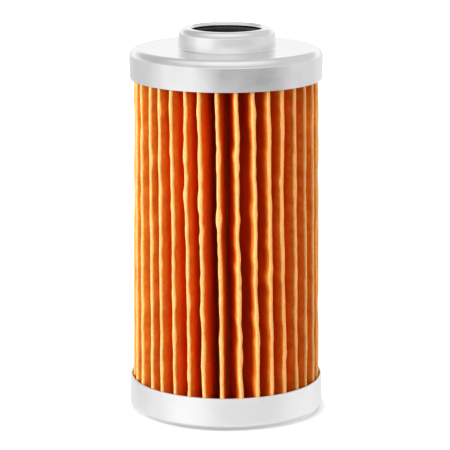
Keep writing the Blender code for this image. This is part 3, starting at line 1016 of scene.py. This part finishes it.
def coil_spring(surface):
    """Compression spring with its end turns closed up flat."""
    sides = 14
    per_turn = 40
    total = int(SPRING_TURNS * per_turn)
    radius = spring_high.x - SPRING_WIRE / 2
    low = spring_low.z + SPRING_WIRE / 2
    high = spring_high.z - SPRING_WIRE / 2
    open_turns = SPRING_TURNS - 2 * SPRING_CLOSED_TURNS
    open_rise = high - low - 2 * SPRING_CLOSED_TURNS * SPRING_WIRE
    vertices = []
    faces = []

    def middle_height(turn):
        """Closed turns rise by one wire each, and the open ones share the rest."""
        closed = min(turn, SPRING_CLOSED_TURNS) + max(turn - SPRING_CLOSED_TURNS - open_turns, 0.0)
        opened = min(max(turn - SPRING_CLOSED_TURNS, 0.0), open_turns) / open_turns
        return low + closed * SPRING_WIRE + opened * open_rise

    for step in range(total + 1):
        turn = step / per_turn
        middle = middle_height(turn)
        for side in range(sides):
            around = math.tau * side / sides
            spread = radius + SPRING_WIRE / 2 * math.cos(around)
            vertices.append(on_ring(spread, math.tau * turn, middle + SPRING_WIRE / 2 * math.sin(around)))
    for step in range(total):
        here = step * sides
        for side in range(sides):
            after = (side + 1) % sides
            faces.append((here + side, here + after, here + sides + after, here + sides + side))
    faces.append(tuple(range(sides)))
    faces.append(tuple(range(total * sides, (total + 1) * sides)))
    return mesh_object("relief_valve_spring", vertices, faces, surface, smooth_degrees=50.0)


# ---------------------------------------------------------------- studio

def softbox(name, azimuth, elevation, distance, size, radiance, colour):
    """A square softbox aimed at the middle of the element, and set by how bright its face is.

    The metal doesn't mirror it, because the mirrored room's panels stand in for it there.
    """
    middle = Vector((0.0, 0.0, cad_high.z / 2))
    tilt = math.radians(elevation)
    away = Vector(on_ring(math.cos(tilt), math.radians(azimuth), math.sin(tilt)))
    data = bpy.data.lights.new(name, "AREA")
    data.size = size
    data.energy = radiance * math.pi * size * size
    data.color = colour
    light = bpy.data.objects.new(name, data)
    light.location = middle + away * distance
    light.rotation_euler = (-away).to_track_quat("-Z", "Y").to_euler()
    light.visible_glossy = False
    light.visible_camera = False
    bpy.context.scene.collection.objects.link(light)


def mirrored_room(nodes):
    """Brightness of the room in each direction: level belts, with soft-edged panels over them."""
    x, y, z = nodes.axes()
    elevation = nodes.math("ARCSINE", z)
    never_zero = 1e-4
    flat = nodes.math("MAXIMUM", nodes.distance_from_axis(), never_zero)
    ramp = nodes.tree.nodes.new("ShaderNodeValToRGB")
    ramp.color_ramp.interpolation = "EASE"
    stops = ramp.color_ramp.elements
    nodes.link(nodes.between(elevation, -math.pi / 2, math.pi / 2), ramp.inputs["Fac"])
    for number, (angle, brightness) in enumerate(MIRRORED_BELTS):
        position = (angle + 90) / 180
        stop = stops[0] if number == 0 else stops.new(position)
        stop.position = position
        stop.color = (brightness, brightness, brightness, 1.0)
    stops[-1].color = stops[-2].color
    level = ramp.outputs["Color"]
    for azimuth, height, half_width, half_height, brightness in MIRRORED_PANELS:
        ahead = on_ring(1.0, math.radians(azimuth), 0.0)
        along = nodes.math("ADD", nodes.math("MULTIPLY", x, ahead[0]), nodes.math("MULTIPLY", y, ahead[1]))
        away = nodes.math("ARCCOSINE", nodes.math("DIVIDE", along, flat))
        off = nodes.math("ABSOLUTE", nodes.math("SUBTRACT", elevation, math.radians(height)))
        full_width, full_height = half_width * PANEL_FULL_WIDTH, half_height * PANEL_FULL_HEIGHT
        wide = nodes.between(away, math.radians(half_width), math.radians(full_width), smooth=True)
        tall = nodes.between(off, math.radians(half_height), math.radians(full_height), smooth=True)
        level = nodes.towards(level, brightness, nodes.math("MULTIPLY", wide, tall))
    return nodes.math("MULTIPLY", level, MIRRORED_GAIN)


def studio():
    """White floor, a world with a white backdrop and the mirrored room, and the softboxes."""
    bm = bmesh.new()
    bmesh.ops.create_grid(bm, x_segments=8, y_segments=8, size=FLOOR_HALF_WIDTH)
    mesh = bpy.data.meshes.new("studio_floor")
    bm.to_mesh(mesh)
    bm.free()
    mesh.materials.append(studio_floor("studio_floor"))
    floor = bpy.data.objects.new("studio_floor", mesh)
    floor.location.z = cad_low.z - FLOOR_DROP
    floor.visible_glossy = False
    floor.visible_diffuse = False
    bpy.context.scene.collection.objects.link(floor)

    world = bpy.data.worlds.new("studio")
    world.use_nodes = True
    nodes = Nodes(world.node_tree, "Generated")
    rays = nodes.tree.nodes.new("ShaderNodeLightPath")
    strength = nodes.towards(AMBIENT, mirrored_room(nodes), rays.outputs["Is Glossy Ray"])
    strength = nodes.towards(strength, 1.0, rays.outputs["Is Camera Ray"])
    backdrop = nodes.tree.nodes["Background"]
    backdrop.inputs["Color"].default_value = (*WHITE, 1.0)
    nodes.link(strength, backdrop.inputs["Strength"])
    bpy.context.scene.world = world

    for settings in SOFTBOXES:
        softbox(*settings)


def camera():
    """Long lens at the front, a little above the element and looking down at it."""
    data = bpy.data.cameras.new("camera")
    data.sensor_width = SENSOR
    data.lens = LENS
    data.clip_start = 0.01
    data.clip_end = 50.0
    eye = bpy.data.objects.new("camera", data)
    eye.location = CAMERA_PLACE
    eye.rotation_euler = (math.radians(90 - CAMERA_PITCH), 0.0, 0.0)
    bpy.context.scene.collection.objects.link(eye)
    bpy.context.scene.camera = eye


def build():
    """Makes every piece and puts it on its CAD body."""
    bright = cap_metal("tinplate", light=(0.82, 0.82, 0.82), dark=(0.76, 0.76, 0.76))
    steel = rolled_steel("rolled_steel", colour=(0.62, 0.61, 0.60), rough=0.26)
    plated = rolled_steel("yellow_zinc_plate", colour=(0.72, 0.62, 0.36), rough=0.22, scale=2.0)
    wire = rolled_steel("spring_wire", colour=(0.40, 0.39, 0.38), rough=0.25, scale=2.0)
    rubber = black_rubber("moulded_rubber")
    glue = cured_adhesive("amber_adhesive")
    paper = filter_paper("cured_filter_paper")

    place(upper_cap(bright), "element", "cap_metal", "upper_end_cap")
    place(lower_cap(bright), "element", "cap_metal", "lower_end_cap")
    place(seal_ring(rubber), "element", "black_rubber", "neck_seal")
    place(retainer_ring(steel), "element", "inner_steel", "seal_retainer")
    upper_glue, lower_glue = adhesive_rings(glue)
    place(upper_glue, "element", "adhesive", "upper_potting")
    place(lower_glue, "element", "adhesive", "lower_potting")
    place(pleated_paper(paper), "element", "filter_paper", "pleated_media")
    place(seam_clip(steel), "element", "inner_steel", "media_seam_clip")
    place(perforated_tube(steel), "element", "inner_steel", "centre_tube")
    place(cage(steel), "element", "inner_steel", "valve_cage")
    facing, disc, stem = valve_pieces(plated, rubber)
    place(facing, "relief_valve", "black_rubber", "valve_facing")
    place(disc, "relief_valve", "valve_steel", "valve_disc")
    place(stem, "relief_valve", "valve_steel", "valve_stem")
    spring = place(coil_spring(wire), "element", "spring_steel", "relief_spring")
    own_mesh(spring)


build()
studio()
camera()
bpy.context.scene.view_settings.view_transform = "Standard"
